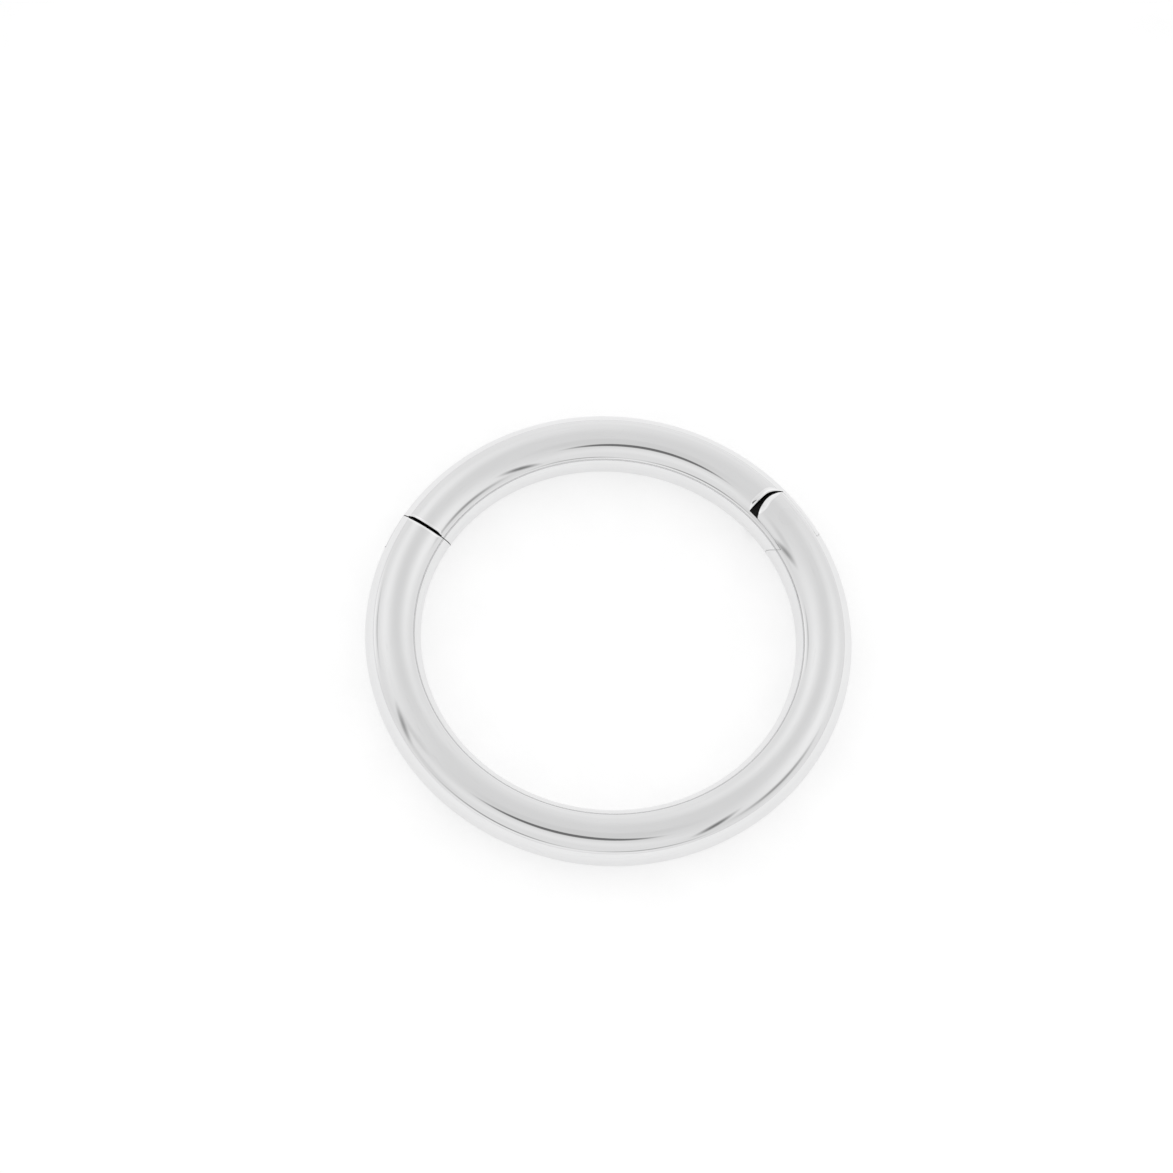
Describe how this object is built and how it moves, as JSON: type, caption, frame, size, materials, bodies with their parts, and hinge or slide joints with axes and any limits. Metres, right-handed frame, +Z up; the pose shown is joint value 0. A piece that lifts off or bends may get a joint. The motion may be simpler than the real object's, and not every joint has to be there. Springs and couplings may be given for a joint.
{
  "type": "hinged segment ring",
  "caption": "Plain round-wire piercing ring whose short segment swings outward on a hinge pin and closes with a flat tab in a slot.",
  "frame": {"origin": "middle of the ring, on the surface that it lies on", "axes": "+Z up, along the ring's own axis; +Y from the middle towards the middle of the swinging segment; +X towards the hinge's side"},
  "size_m": [0.0104, 0.0104, 0.0012],
  "materials": {
    "polished_steel": "mirror polished",
    "pin_steel": "ground flush and polished"
  },
  "bodies": {
    "body": {"ring_body": "polished_steel", "hinge_pin": "pin_steel"},
    "segment": {"hinged_segment": "polished_steel"}
  },
  "joints": [
    {"name": "segment_hinge", "type": "hinge", "parent": "body", "child": "segment", "pos_m": [0.00407, 0.00232, 0.0006], "axis": [0, 0, -1], "range_deg": [0, 95]}
  ]
}
